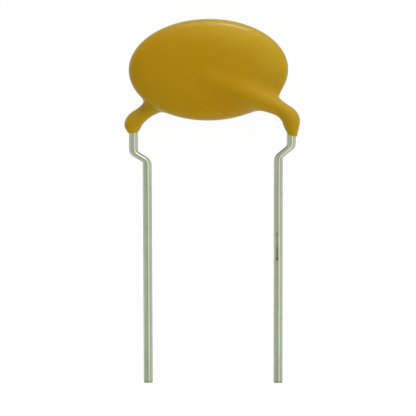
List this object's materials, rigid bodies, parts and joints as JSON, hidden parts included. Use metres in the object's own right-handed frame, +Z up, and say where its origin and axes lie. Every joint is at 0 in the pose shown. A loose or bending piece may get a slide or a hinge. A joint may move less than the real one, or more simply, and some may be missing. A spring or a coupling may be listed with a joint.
{
  "type": "ceramic disc capacitor",
  "caption": "Ceramic disc capacitor: an oval ceramic plate dipped in ochre epoxy, with kinked tinned wire leads, for through-hole circuit boards.",
  "frame": {"origin": "middle of the box's underside, on the surface that the part lies on", "axes": "+Z up out of the marked face, +Y from the lead tips towards the body, +X to the right across the marked face; the body leans by about 2 degrees as it lies on its back"},
  "size_m": [0.0136, 0.028, 0.0034],
  "materials": {
    "epoxy": "glossy dipped epoxy, ochre yellow",
    "ceramic": "fired titanate ceramic, matte, pale brown",
    "silver": "fired-on silver film, satin",
    "solder": "dull solder",
    "tinned_wire": "tin-plated copper-clad wire with fine draw lines, slightly greenish grey"
  },
  "bodies": {
    "root": {"epoxy_coat": "epoxy", "ceramic_plate": "ceramic", "front_electrode": "silver", "back_electrode": "silver", "front_solder": "solder", "back_solder": "solder", "left_lead": "tinned_wire", "right_lead": "tinned_wire"}
  },
  "joints": []
}
